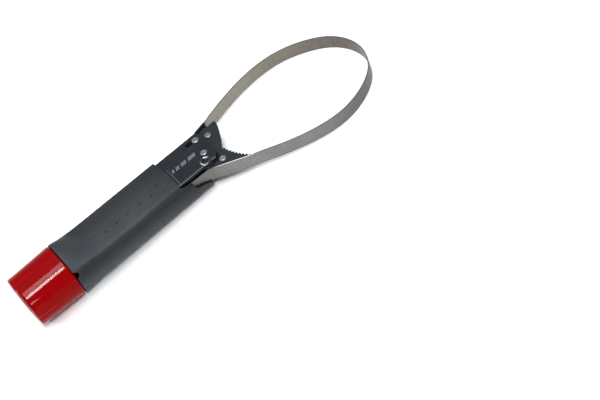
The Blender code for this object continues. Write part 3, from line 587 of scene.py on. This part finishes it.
def make_channel():
    y, z = CHANNEL_HALF_WIDTH - CHANNEL_CORNER, CHANNEL_HALF_HEIGHT - CHANNEL_CORNER
    section = []
    for centre, first in (((y, z), 0), ((-y, z), 90), ((-y, -z), 180), ((y, -z), 270)):
        section += arc(centre, CHANNEL_CORNER, first, first + 90, 10)
    tube = solid("tube", section, CHANNEL_REAR, NOSE_X, "YZ")
    nose = [(CHANNEL_REAR - 9, -30), (NOSE_X - NOSE_RIGHT_RADIUS, -30)]
    nose += arc((NOSE_X - NOSE_RIGHT_RADIUS, NOSE_RIGHT_RADIUS - CHANNEL_HALF_WIDTH), NOSE_RIGHT_RADIUS,
                -90, 0, 20)
    nose += arc((NOSE_X - NOSE_LEFT_RADIUS, CHANNEL_HALF_WIDTH - NOSE_LEFT_RADIUS), NOSE_LEFT_RADIUS, 0, 90, 16)
    nose += [(NOSE_X - NOSE_LEFT_RADIUS, 30), (CHANNEL_REAR - 9, 30)]
    inner_y, inner_z = CHANNEL_HALF_WIDTH - CHANNEL_WALL, CHANNEL_HALF_HEIGHT - CHANNEL_WALL
    inside = rounded([(inner_y, -inner_z), (inner_y, inner_z), (-inner_y, inner_z), (-inner_y, -inner_z)], 0.7, 4)
    window = rounded([(-110, -5.2), (-35.5, -5.2), (-35.5, 5.2), (-110, 5.2)], 1.5)
    room = inner_z - 0.15

    def opening(x):
        return [(x, -room), (NOSE_X + 5, -room), (NOSE_X + 5, room), (x, room)]

    half = RIVET_SHANK + SLOT_GAP
    steps = [
        ("INTERSECT", solid("nose", nose, -20, 20)),
        ("DIFFERENCE", solid("cavity", inside, CHANNEL_REAR - 5, NOSE_X + 5, "YZ")),
        ("DIFFERENCE", solid("swing_room_right", opening(-9.5), -20, 0.0, "XZ")),
        ("DIFFERENCE", solid("swing_room_left", opening(-7.5), -0.1, 20, "XZ")),
        ("DIFFERENCE", solid("hook_window", window, -20, -14, "XZ")),
        ("DIFFERENCE", solid("slot", swing_slot(STOP_PIN, SWING_DEG, half), -20, 20)),
    ]
    mesh = carved("channel", tube, steps)
    made = piece("channel", mesh, "black_steel", ["frame_channel"], "handle", 35, CHANNEL_PAINT)
    bevelled(made, 0.35, 3, 32)


def grip_section():
    """The grip's section as (y, z, direction): shouldered sides and top, with soft corners."""
    quarter = [(21.2, 0.0), (21.2, 5.4), (20.7, 6.6), (17.6, 9.9), (16.2, 10.4), (8.0, 10.4)]
    mirrored = [(-y, z) for y, z in reversed(quarter[1:])]
    top = quarter + [(0.0, GRIP_HALF_HEIGHT)] + mirrored + [(-21.2, 0.0)]
    whole = top + [(-y, -z) for y, z in top[1:-1]]
    fine = []
    for (y, z), (next_y, next_z) in zip(whole, whole[1:] + whole[:1]):
        spans = max(3, round(hypot(next_y - y, next_z - z) / 0.55))
        for k in range(spans):
            t = k / spans
            fine.append([y + (next_y - y) * t, z + (next_z - z) * t])
    for _ in range(3):
        fine = [[(a[0] + 2 * b[0] + c[0]) / 4, (a[1] + 2 * b[1] + c[1]) / 4]
                for a, b, c in zip(fine[-1:] + fine[:-1], fine, fine[1:] + fine[:1])]
    return [(y, z, atan2(z, y)) for y, z in fine]


def mouth_line(y):
    """Where the sleeve's flat top ends along X."""
    return GRIP_MOUTH + MOUTH_CROWN - 2 * MOUTH_CROWN * (y / 21.0) ** 2


def grip_front(y, z):
    """Where the sleeve ends along X, for a point of its section."""
    crown = mouth_line(y) - GRIP_MOUTH
    if y > 0:
        side = [(-12.0, -9.0), (-9.0, -8.6), (-7.4, -4.6), (-6.2, -3.4), (-5.0, -4.0), (-2.6, -24.0),
                (-1.6, -27.0), (12.0, -27.0)]
    else:
        side = [(-12.0, -9.0), (-9.0, -8.6), (-7.4, -4.6), (-6.2, -3.4), (-5.0, -4.0), (-3.4, -7.6), (0.2, -16.6),
                (1.6, -17.6), (6.0, -18.2), (7.4, -22.0), (8.8, -27.0), (12.0, -27.0)]
    for (low, a), (high, b) in zip(side, side[1:]):
        if z <= high:
            t = (z - low) / (high - low)
            t = t * t * (3 - 2 * t)
            return a + (b - a) * t + (crown if z > 8.8 else crown * max(0.0, (z - 7.4) / 1.4))
    return mouth_line(y)


PIPS = [(-46.0, -7.6), (-56.0, -6.7), (-67.0, -6.8), (-77.0, -6.5), (-87.0, -6.5)]


def make_grip():
    """The sleeve: a closed loft whose front end follows the mouth, with a notch in its round rear end."""
    section = grip_section()
    count = len(section)

    def point(index, x, inset):
        t = min(1.0, max(0.0, 1.0 - (x - GRIP_REAR) / GRIP_ROUND_LENGTH))
        t = t * t * (3 - 2 * t)
        blended = []
        for step in (-1, 0, 1):
            y, z, a = section[(index + step) % count]
            blended.append((y + (GRIP_REAR_RADIUS * cos(a) - y) * t, z + (GRIP_REAR_RADIUS * sin(a) - z) * t))
        (y0, z0), (y, z), (y1, z1) = blended
        across = Vector((z1 - z0, y0 - y1)).normalized()
        return (x, y - across.x * inset, z - across.y * inset)

    step, rim = 1.2, 0.4
    stations = [0.0, 0.4] + [step * k for k in range(1, 78)]
    columns = []
    for i, (y, z, a) in enumerate(section):
        gap = abs((a - radians(NOTCH_DEG) + pi) % (2 * pi) - pi)
        rear = GRIP_REAR + NOTCH_DEPTH * max(0.0, 1.0 - (gap / radians(NOTCH_HALF_DEG)) ** 4)
        front = grip_front(y, z)
        xs = [rear + (front - rear) * s / (GRIP_MOUTH - GRIP_REAR) for s in stations]
        last = xs[-1]
        xs += [last + (front - last) * k / 10 for k in range(1, 10)]
        outer = [point(i, x, 0.0) for x in xs]
        outer += [point(i, front - rim + rim * sin(k * pi / 8), rim - rim * cos(k * pi / 8)) for k in range(0, 5)]
        inner = [point(i, front - rim + rim * cos(k * pi / 8), GRIP_WALL - rim + rim * sin(k * pi / 8))
                 for k in range(0, 5)]
        inner += [point(i, x, GRIP_WALL) for x in reversed(xs[1::3])]
        inner += [point(i, rear + rim - rim * sin(k * pi / 6), GRIP_WALL - rim + rim * cos(k * pi / 6))
                  for k in range(0, 4)]
        inner += [point(i, rear + rim - rim * cos(k * pi / 6), rim - rim * sin(k * pi / 6)) for k in range(0, 3)]
        columns.append(outer[1:] + inner)
    mesh = grid("grip", columns, wrap_rows=True)
    piece("grip", mesh, "grip_plastic", ["grip_sleeve"], "handle", 50)


def make_marks():
    """Plain slanted bars and a low light-grey ridge on the channel; two dashes and five pips on the grip."""
    top = CHANNEL_HALF_HEIGHT
    low, high = -2.9, 0.5
    for i, (start, end) in enumerate(((-23.0, -21.2), (-19.6, -16.4), (-14.8, -10.0), (-8.2, -1.6))):
        outline = rounded([(start, low), (end, low), (end + 1.1, high), (start + 1.1, high)], 0.35, 4)
        mesh = plate(f"channel_bar_{i}", [outline], top - 0.1, top + 0.18, 0.08)
        piece(f"channel_bar_{i}", mesh, "rivet_steel", body="handle", look=SILVER_INK)
    across = [-15.4 + 1.2 * i for i in range(17)]
    ridge_gap, ridge_lean, ridge_width = 2.1, 0.015, 0.55
    ahead = [(mouth_line(y) + ridge_gap + ridge_lean * (y + 15), y) for y in across]
    behind = [(x - ridge_width, y) for x, y in reversed(ahead)]
    mesh = plate("channel_bead", [ahead + behind], top - 0.1, top + 0.22, 0.1)
    piece("channel_bead", mesh, "black_steel", body="handle", look=LIGHT_GREY_RIDGE_PAINT)
    x = -37.6
    for i, (y0, y1) in enumerate(((-3.4, -0.6), (-13.4, -11.0))):
        outline = rounded([(x - 0.3, y0), (x + 0.3, y0), (x + 0.3, y1), (x - 0.3, y1)], 0.28, 4)
        mesh = plate(f"grip_dash_{i}", [outline], GRIP_HALF_HEIGHT - 0.2, GRIP_HALF_HEIGHT + 0.08, 0.06)
        piece(f"grip_dash_{i}", mesh, "black_plastic", body="handle", look=DULL_BLACK)
    for i, (x, y) in enumerate(PIPS):
        profile = [(-0.2, 0.0), (-0.2, 0.62), (0.02, 0.62), (0.06, 0.56), (0.06, 0.3), (0.0, 0.2), (0.0, 0.0)]
        mesh = lathe(f"grip_pip_{i}", (x, y, GRIP_HALF_HEIGHT), (0, 0, 1), profile, 24)
        piece(f"grip_pip_{i}", mesh, "black_plastic", body="handle", look=DULL_BLACK)


# ---------------------------------------------------------------- head

def strap_side(offset, x):
    """A point beside the band's straight stretch, offset towards the head from its middle."""
    a = radians(STRAP_LINE_DEG)
    y = STRAP_CORNER[1] + (x - STRAP_CORNER[0]) * tan(a)
    return (x - offset * sin(a), y + offset * cos(a))


def jaw_teeth(teeth=9, depth=1.3):
    """The toothed edge, from the jaw's tip back to its smooth part."""
    step = (JAW_LAST_DEG - JAW_FIRST_DEG) / teeth
    points = []
    for i in range(teeth):
        peak = JAW_LAST_DEG - i * step
        for reach, shift, soft in ((0.0, 0.0, 0.12), (0.15, 0.22, 0.12), (depth, 0.62, 0.2)):
            x, y = arc(JAW_CENTRE, JAW_RADIUS + reach, peak - shift * step, peak, 1)[0]
            points.append((x, y, soft))
    return points


def lower_outline(heel_radius, inset):
    points = [(x, y, 0.0) for x, y in arc(PIVOT, heel_radius, 165, 270 + STRAP_LINE_DEG, 16)]
    points.append((*strap_side(0.62 + inset, 26.0), 0.3))
    return points + jaw_teeth()


def make_head():
    left_edge = [(20.4, 16.4, 1.0), (19.2, 18.2, 0.5), (12.8, 16.9, 1.0), (7.6, 16.2, 3.0), (-3.0, 15.4, 1.5),
                 (-4.2, 9.0, 3.0), (-4.0, 2.0, 3.0)]
    right_edges = {
        "top": [(20.9, -3.2, 3.0), (25.4, 5.6, 20.0), (28.0, 11.6, 20.0), (28.9, 15.6, 0.7), (28.2, 16.9, 0.9)],
        "bottom": [(18.9, -4.0, 3.0), (22.0, 5.0, 20.0), (25.6, 11.6, 20.0), (27.6, 15.6, 0.7),
                   (27.0, 16.7, 0.9)],
    }
    holes = [arc(PIVOT, PIVOT_HOLE, 0, 360, 40)[:-1], swing_slot(GUIDE_RIVET, -SWING_DEG, RIVET_SHANK + SLOT_GAP)]
    for name, low, high in (("top", PLATE_LOW, PLATE_HIGH), ("bottom", -PLATE_HIGH, -PLATE_LOW)):
        outline = rounded(lower_outline(5.0, 0.0) + right_edges[name] + left_edge, 0.3, 4)
        mesh = plate(f"head_{name}", [outline, *holes], low, high, 0.22)
        piece(f"head_{name}", mesh, "black_steel", [f"head_plate_{name}"], "head", 35)

    core = rounded(lower_outline(4.8, 0.2) + [(18.8, -6.0, 1.0), (19.9, -0.6, 0.5), (4.0, -0.6, 1.5)], 0.3, 4)
    mesh = plate("jaw", [core, *holes], -CORE_HALF_HEIGHT, CORE_HALF_HEIGHT, 0.15)
    piece("jaw", mesh, "black_steel", ["jaw_core"], "head", 35)

    along = (ANCHOR_END - ANCHOR_START).normalized()
    turn = atan2(along.y, along.x)
    outer = ANCHOR_HALF_WALL + STRAP_THICKNESS + 2 * GAP
    half, height = ANCHOR_HALF_WALL, 6.9
    section = rounded([(half, -height), (half, height), (-half, height), (-half, -height)], 0.4, 4)
    wall = solid("wall", section, 0.0, (ANCHOR_END - ANCHOR_START).length, "YZ")
    wall.data.transform(Matrix.Translation((*ANCHOR_START, 0)) @ Matrix.Rotation(turn, 4, "Z"))
    lug = rounded([(2.6, 5.0), (5.0, 2.8), (21.2, 1.6), (23.2, 6.0), (26.2, 12.0), (27.6, 15.8), (22.6, 15.8),
                   (22.2, 20.5, 0.0), (12.6, 18.1, 0.0), (8.6, 14.8), (3.2, 10.6)], 1.2, 4)
    mesh = carved("anchor", solid("lug", lug, -CORE_HALF_HEIGHT, CORE_HALF_HEIGHT), [("UNION", wall)])
    bevelled(piece("anchor", mesh, "black_steel", ["strap_anchor"], "head", 35), 0.15, 2, 40)

    middle = (ANCHOR_START + ANCHOR_END) / 2
    outward = Vector((-along.y, along.x, 0.0))
    profile = [(-6.0, 0.0), (-6.0, 1.4), (-5.8, 1.6), (outer, 1.6), (outer, 2.7), (outer + 0.15, 2.8)]
    profile += [(outer + 0.15 + 0.95 * sin(a * pi / 16), 2.8 * cos(a * pi / 16)) for a in range(1, 7)]
    profile += [(outer + 1.0, 0.75), (outer + 0.6, 0.6), (outer + 0.6, 0.0)]
    mesh = lathe("anchor_screw_head", (*middle, 0.0), outward, profile, 48)
    piece("anchor_screw_head", mesh, "rivet_steel", ["anchor_screw"], "head")


def domed_rivet(name, node, body, centre, face):
    """A rivet along Z: pressed domes with a shallow centre dimple and a thin skirt."""
    low = face + 0.25
    head = [(low + 0.72, 0.0), (low + 0.73, 0.4), (low + 0.82, 0.72), (low + 0.95, 1.0), (low + 0.98, 1.35),
            (low + 0.93, 1.75), (low + 0.79, 2.15), (low + 0.57, 2.5), (low + 0.3, 2.76), (low + 0.12, 2.86),
            (low + 0.03, 2.87), (low, 2.8), (low, RIVET_SHANK)]
    foot = [(-h, r) for h, r in reversed(head)]
    mesh = lathe(name, (*centre, 0.0), (0, 0, 1), head + foot, 56)
    piece(name, mesh, "rivet_steel", [node], body, 60)


def make_pins():
    top = CHANNEL_HALF_HEIGHT + GAP
    head = [(top + 0.25, 2.35), (top + 0.7, 2.5), (top + 1.02, 2.8), (top + 1.22, 3.2), (top + 1.25, 3.55),
            (top + 1.1, 3.95), (top + 0.8, 4.25), (top + 0.4, 4.45), (top + 0.1, 4.48), (top, 4.3), (top, 3.2)]
    flush = CHANNEL_HALF_HEIGHT
    foot = [(-flush, 3.2), (-flush, 3.55), (-flush - 0.25, 3.5), (-flush - 0.4, 3.2), (-flush - 0.3, 2.6),
            (-flush, 2.35)]
    mesh = lathe("pivot_tube", (*PIVOT, 0.0), (0, 0, 1), head + foot, 72, closed=True)
    piece("pivot_tube", mesh, "black_steel", ["pivot_rivet"], "handle", 60, rolled_rim())
    domed_rivet("guide_pin", "guide_rivet", "handle", GUIDE_RIVET, CHANNEL_HALF_HEIGHT)
    domed_rivet("stop_pin_dome", "stop_pin", "head", STOP_PIN, CHANNEL_HALF_HEIGHT)
    for node, centre in HEAD_RIVETS.items():
        domed_rivet(node + "_dome", node, "head", centre, PLATE_HIGH)


# ---------------------------------------------------------------- strap

LOOP = [(25.6, 22.9), (34.7, 25.7), (50.0, 30.0), (66.0, 33.1), (83.0, 34.3), (100.0, 32.4), (115.0, 26.8),
        (128.0, 18.4), (137.8, 8.0), (143.6, -5.0), (144.6, -19.0), (140.6, -32.0), (132.0, -43.4),
        (118.0, -52.2), (101.0, -57.1), (85.0, -57.2), (68.0, -53.4), (50.0, -46.4), (34.0, -38.4)]


def band(name, path, start_length):
    """A thin steel band standing on its edge along a path, with rounded edges and a map along its length."""
    half, thin, soft = STRAP_HALF_WIDTH, STRAP_THICKNESS / 2, 0.22
    ring = [(thin, -half + soft), (thin, -half * 0.5), (thin, 0.0), (thin, half * 0.5), (thin, half - soft)]
    ring += [(thin - soft + soft * cos(a), half - soft + soft * sin(a)) for a in (pi / 6, pi / 3, pi / 2)]
    upper = ring[4:]
    ring += [(-y, z) for y, z in reversed(upper)]
    ring += [(-thin, half * 0.5), (-thin, 0.0), (-thin, -half * 0.5)]
    ring += [(-y, -z) for y, z in upper]
    ring += [(y, -z) for y, z in reversed(upper)][:-1]
    rows, lengths = [], [start_length]
    for i, point in enumerate(path):
        before, after = path[max(i - 1, 0)], path[min(i + 1, len(path) - 1)]
        along = (Vector(after) - Vector(before)).normalized()
        left = Vector((-along.y, along.x))
        rows.append([(point[0] + left.x * y, point[1] + left.y * y, z) for y, z in ring])
        if i:
            lengths.append(lengths[-1] + dist(path[i - 1], point))
    count = len(ring)
    vertices = [v for row in rows for v in world(row)]
    faces = [(j * count + i, j * count + (i + 1) % count, (j + 1) * count + (i + 1) % count, (j + 1) * count + i)
             for j in range(len(rows) - 1) for i in range(count)]
    faces += [tuple(range(count)), tuple((len(rows) - 1) * count + i for i in reversed(range(count)))]
    mesh = bpy.data.meshes.new(name)
    mesh.from_pydata(vertices, [], faces)
    layer = mesh.uv_layers.new(name="run")
    for loop in mesh.loops:
        row, spot = divmod(loop.vertex_index, count)
        y, z = ring[spot]
        layer.data[loop.index].uv = (lengths[row] * MM, (z + (thin - y) / thin * 10) * MM)
    shape = bmesh.new()
    shape.from_mesh(mesh)
    bmesh.ops.recalc_face_normals(shape, faces=shape.faces)
    shape.to_mesh(mesh)
    shape.free()
    made = piece(name, mesh, "strap_steel", ["strap_band"], sharp=50)
    return made, lengths[-1]


def blended(made, first, second, start, end):
    start, end = world([start, end])
    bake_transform(made)


def make_strap():
    along = (ANCHOR_END - ANCHOR_START).normalized()
    outward = Vector((-along.y, along.x)) * (ANCHOR_HALF_WALL + GAP + STRAP_THICKNESS / 2)
    loop = [tuple(ANCHOR_START - along + outward), tuple(ANCHOR_START + 5 * along + outward),
            tuple(ANCHOR_END + outward)] + LOOP
    loop += [strap_side(0.0, x) for x in (24.0, 14.0, 5.0)]
    loop = evened(smooth_path(loop, 12), 1.0)
    made, run = band("strap_loop", loop, 0.0)
    blended(made, "head", "strap", (30.0, -10.0, 0.0), (145.0, -16.0, 0.0))

    heel = smooth_path([strap_side(0.0, 5.0), strap_side(0.0, 2.6), strap_side(0.0, 0.2), (-1.6, -19.35),
                        (-3.0, -19.02), (-6.0, -18.95), (-10.0, -18.8), (-14.0, -18.6)], 8)
    made, run = band("strap_heel", evened(heel, 0.4), run)
    blended(made, "handle", "head", (-6.0, -19.0, 0.0), (1.5, -19.0, 0.0))

    tail = smooth_path([(-14.0, -18.6), (-24.0, -18.1), (-34.0, TAIL_Y), (-60.0, TAIL_Y),
                        (TRAVELLER_X - 6.0, TAIL_Y)], 10)
    made, _ = band("strap_tail", evened(tail, 1.5), run)
    blended(made, "handle", "traveller", (-14.5, TAIL_Y, 0.0), (-70.0, TAIL_Y, 0.0))


# ---------------------------------------------------------------- knob

def make_knob():
    """A moulded cup: flutes that fade towards the grip, a softly broken outer rim and a hub inside."""
    front, rear = KNOB_FRONT, KNOB_REAR
    wall = 2.2

    def radius_at(x):
        return KNOB_REAR_RADIUS + (KNOB_FRONT_RADIUS - KNOB_REAR_RADIUS) * (x - rear) / (front - rear)

    def flute(x, angle):
        """How deep the surface lies under the cone at an angle."""
        share = (x - rear) / (front - rear)
        deep = 0.42 * max(0.0, 1.0 - share / 0.72) ** 0.8
        half = radians(5.6)
        step = 2 * pi / FLUTES
        away = abs((angle - radians(FIRST_FLUTE_DEG) + step / 2) % step - step / 2)
        t = min(1.0, away / half)
        return deep * (1 - t * t) ** 1.1

    outer = [(front, 0.35), (front - 0.12, 0.12), (front - 0.4, 0.0)]
    outer_rows = [(x, radius_at(x) - drop, 1.0) for x, drop in outer]
    span = front - 0.4 - (rear + 1.7)
    places = [front - 0.4 - span * k / 60 for k in range(1, 61)]
    outer_rows += [(x, radius_at(x), 1.0) for x in places]
    for k in range(1, 9):
        a = k * pi / 16
        outer_rows.append((rear + 1.7 - 1.7 * sin(a), radius_at(rear) - 1.5 + 1.5 * cos(a), cos(a)))
    face = [(rear, 17.2, 0.0), (rear, 16.4, 0.0), (rear + 0.35, 16.0, 0.0), (rear + 0.5, 15.6, 0.0),
            (rear + 0.5, 10.2, 0.0), (rear + 0.35, 9.8, 0.0), (rear, 9.3, 0.0), (rear, 8.9, 0.0),
            (rear + 0.3, 8.6, 0.0)]
    inside = [(rear + 6, 8.6, 0.0), (rear + 6, 2.8, 0.0), (rear + 11, 2.8, 0.0), (rear + 11, 6.6, 0.0),
              (-120.9, 6.6, 0.0), (-120.6, 6.9, 0.0), (-120.6, 8.7, 0.0), (-120.9, 9.0, 0.0),
              (front - 0.5, 9.6, 0.0), (rear + 9, 10.4, 0.0), (rear + 9, 16.4, 0.0),
              (front - 4, KNOB_FRONT_RADIUS - wall, 0.0), (front, KNOB_FRONT_RADIUS - wall + 0.3, 0.0),
              (front, KNOB_FRONT_RADIUS - 0.9, 0.0)]
    sides = FLUTES * 40
    rows = []
    for x, radius, weight in outer_rows + face + inside:
        ring = []
        for i in range(sides):
            angle = 2 * pi * i / sides
            reach = radius - flute(x, angle) * weight
            ring.append((x, reach * cos(angle), reach * sin(angle)))
        rows.append(ring)
    mesh = grid("knob_shell", rows, wrap_rows=True)
    piece("knob_shell", mesh, "knob_red", ["knob_cap"], "knob", 40)

    profile = [(rear + 1.4, 0.0), (rear + 1.4, 8.1), (rear + 1.2, 8.3), (rear + 0.5, 8.3), (rear + 0.25, 8.1),
               (rear + 0.2, 7.7), (rear + 0.2, 6.2), (rear + 0.5, 5.8), (rear + 0.5, 0.0)]
    mesh = lathe("end_plug", (0, 0, 0), (1, 0, 0), profile, 72)
    piece("end_plug", mesh, "black_plastic", ["knob_end_plug"], "knob")


# ---------------------------------------------------------------- carried-over CAD nodes

def dress_cad_nodes():
    slots = {part["node"]: part["material_slot"] for part in frame["record"]["subparts"]}
    for name, made in frame["nodes"].items():
        if made.hide_render:
            continue
        look = LOOKS[slots[name]]
        for index in range(len(made.material_slots)):
            made.material_slots[index].link = "OBJECT"
            made.material_slots[index].material = look


# ---------------------------------------------------------------- stage

def make_floor():
    """A plain pale floor that touches the grip's round end and the band's lower edge."""
    rear, front = (GRIP_REAR, -21.15), (144.0, -STRAP_HALF_WIDTH - 0.05)
    slope = atan2(front[1] - rear[1], front[0] - rear[0])
    mesh = bpy.data.meshes.new("floor")
    size, cells = 6.0, 8
    ticks = [-size + 2 * size * i / cells for i in range(cells + 1)]
    vertices = [(x, y, 0.0) for y in ticks for x in ticks]
    wide = cells + 1
    faces = [(j * wide + i, j * wide + i + 1, (j + 1) * wide + i + 1, (j + 1) * wide + i)
             for j in range(cells) for i in range(cells)]
    mesh.from_pydata(vertices, [], faces)
    floor = bpy.data.objects.new("floor", mesh)
    floor.location = world([(rear[0], 0.0, rear[1])])[0]
    floor.rotation_euler = (0.0, -slope, 0.0)
    mesh.materials.append(floor_paper())
    bpy.context.scene.collection.objects.link(floor)


def area_light(name, location, aim, size, power, colour=(1.0, 1.0, 1.0)):
    light = bpy.data.lights.new(name, "AREA")
    light.shape = "RECTANGLE"
    light.size, light.size_y = size
    light.energy = power
    light.color = colour
    made = bpy.data.objects.new(name, light)
    made.location = location
    made.rotation_euler = (Vector(aim) - Vector(location)).to_track_quat("-Z", "Y").to_euler()
    bpy.context.scene.collection.objects.link(made)


def light_from(name, direction, distance, size, brightness, colour=(1.0, 1.0, 1.0)):
    """A soft panel in a direction from the object, turned to face it."""
    place = Vector(direction).normalized() * distance
    area_light(name, place, (0.0, 0.0, 0.0), size, brightness * pi * size[0] * size[1], colour)


def make_light():
    light_from("panel", (-0.095, -0.31, 0.95), 1.6, (0.24, 0.45), 21.0, (1.0, 0.99, 0.97))
    light_from("lamp", (-0.1, -0.56, 0.83), 1.5, (0.12, 0.24), 130.0)
    light_from("ceiling", (0.1, 0.02, 1.0), 2.0, (2.0, 1.6), 0.95)
    light_from("far_window", (-0.38, 0.55, 0.84), 2.0, (1.4, 1.3), 0.5, (0.7, 0.92, 1.0))
    light_from("left_box", (-0.77, 0.31, 0.54), 1.6, (0.34, 0.28), 22.0)
    back = bpy.data.worlds.new("studio")
    back.use_nodes = True
    sky = back.node_tree.nodes["Background"]
    sky.inputs["Color"].default_value = (0.9, 0.95, 1.0, 1.0)
    sky.inputs["Strength"].default_value = 0.52
    bpy.context.scene.world = back
    bpy.context.scene.view_settings.view_transform = "Standard"


def make_camera():
    """A long lens from the handle's right, rolled so that the handle runs up to the right."""
    aim = Vector((31.9, -80.3, 0.0)) * MM
    azimuth, elevation, distance, roll = radians(-109.72), radians(47.34), 918.6 * MM, radians(-25.52)
    back = Vector((cos(elevation) * cos(azimuth), cos(elevation) * sin(azimuth), sin(elevation)))
    lens = bpy.data.cameras.new("camera")
    lens.lens, lens.sensor_width = 80.1, 36.0
    lens.clip_start, lens.clip_end = 0.01, 50.0
    camera = bpy.data.objects.new("camera", lens)
    camera.location = aim + back * distance
    camera.rotation_mode = "QUATERNION"
    camera.rotation_quaternion = (-back).to_track_quat("-Z", "Y") @ Matrix.Rotation(roll, 3, "Z").to_quaternion()
    bpy.context.scene.collection.objects.link(camera)
    bpy.context.scene.camera = camera


make_channel()
make_grip()
make_marks()
make_head()
make_pins()
make_strap()
make_knob()
dress_cad_nodes()
make_floor()
make_light()
make_camera()
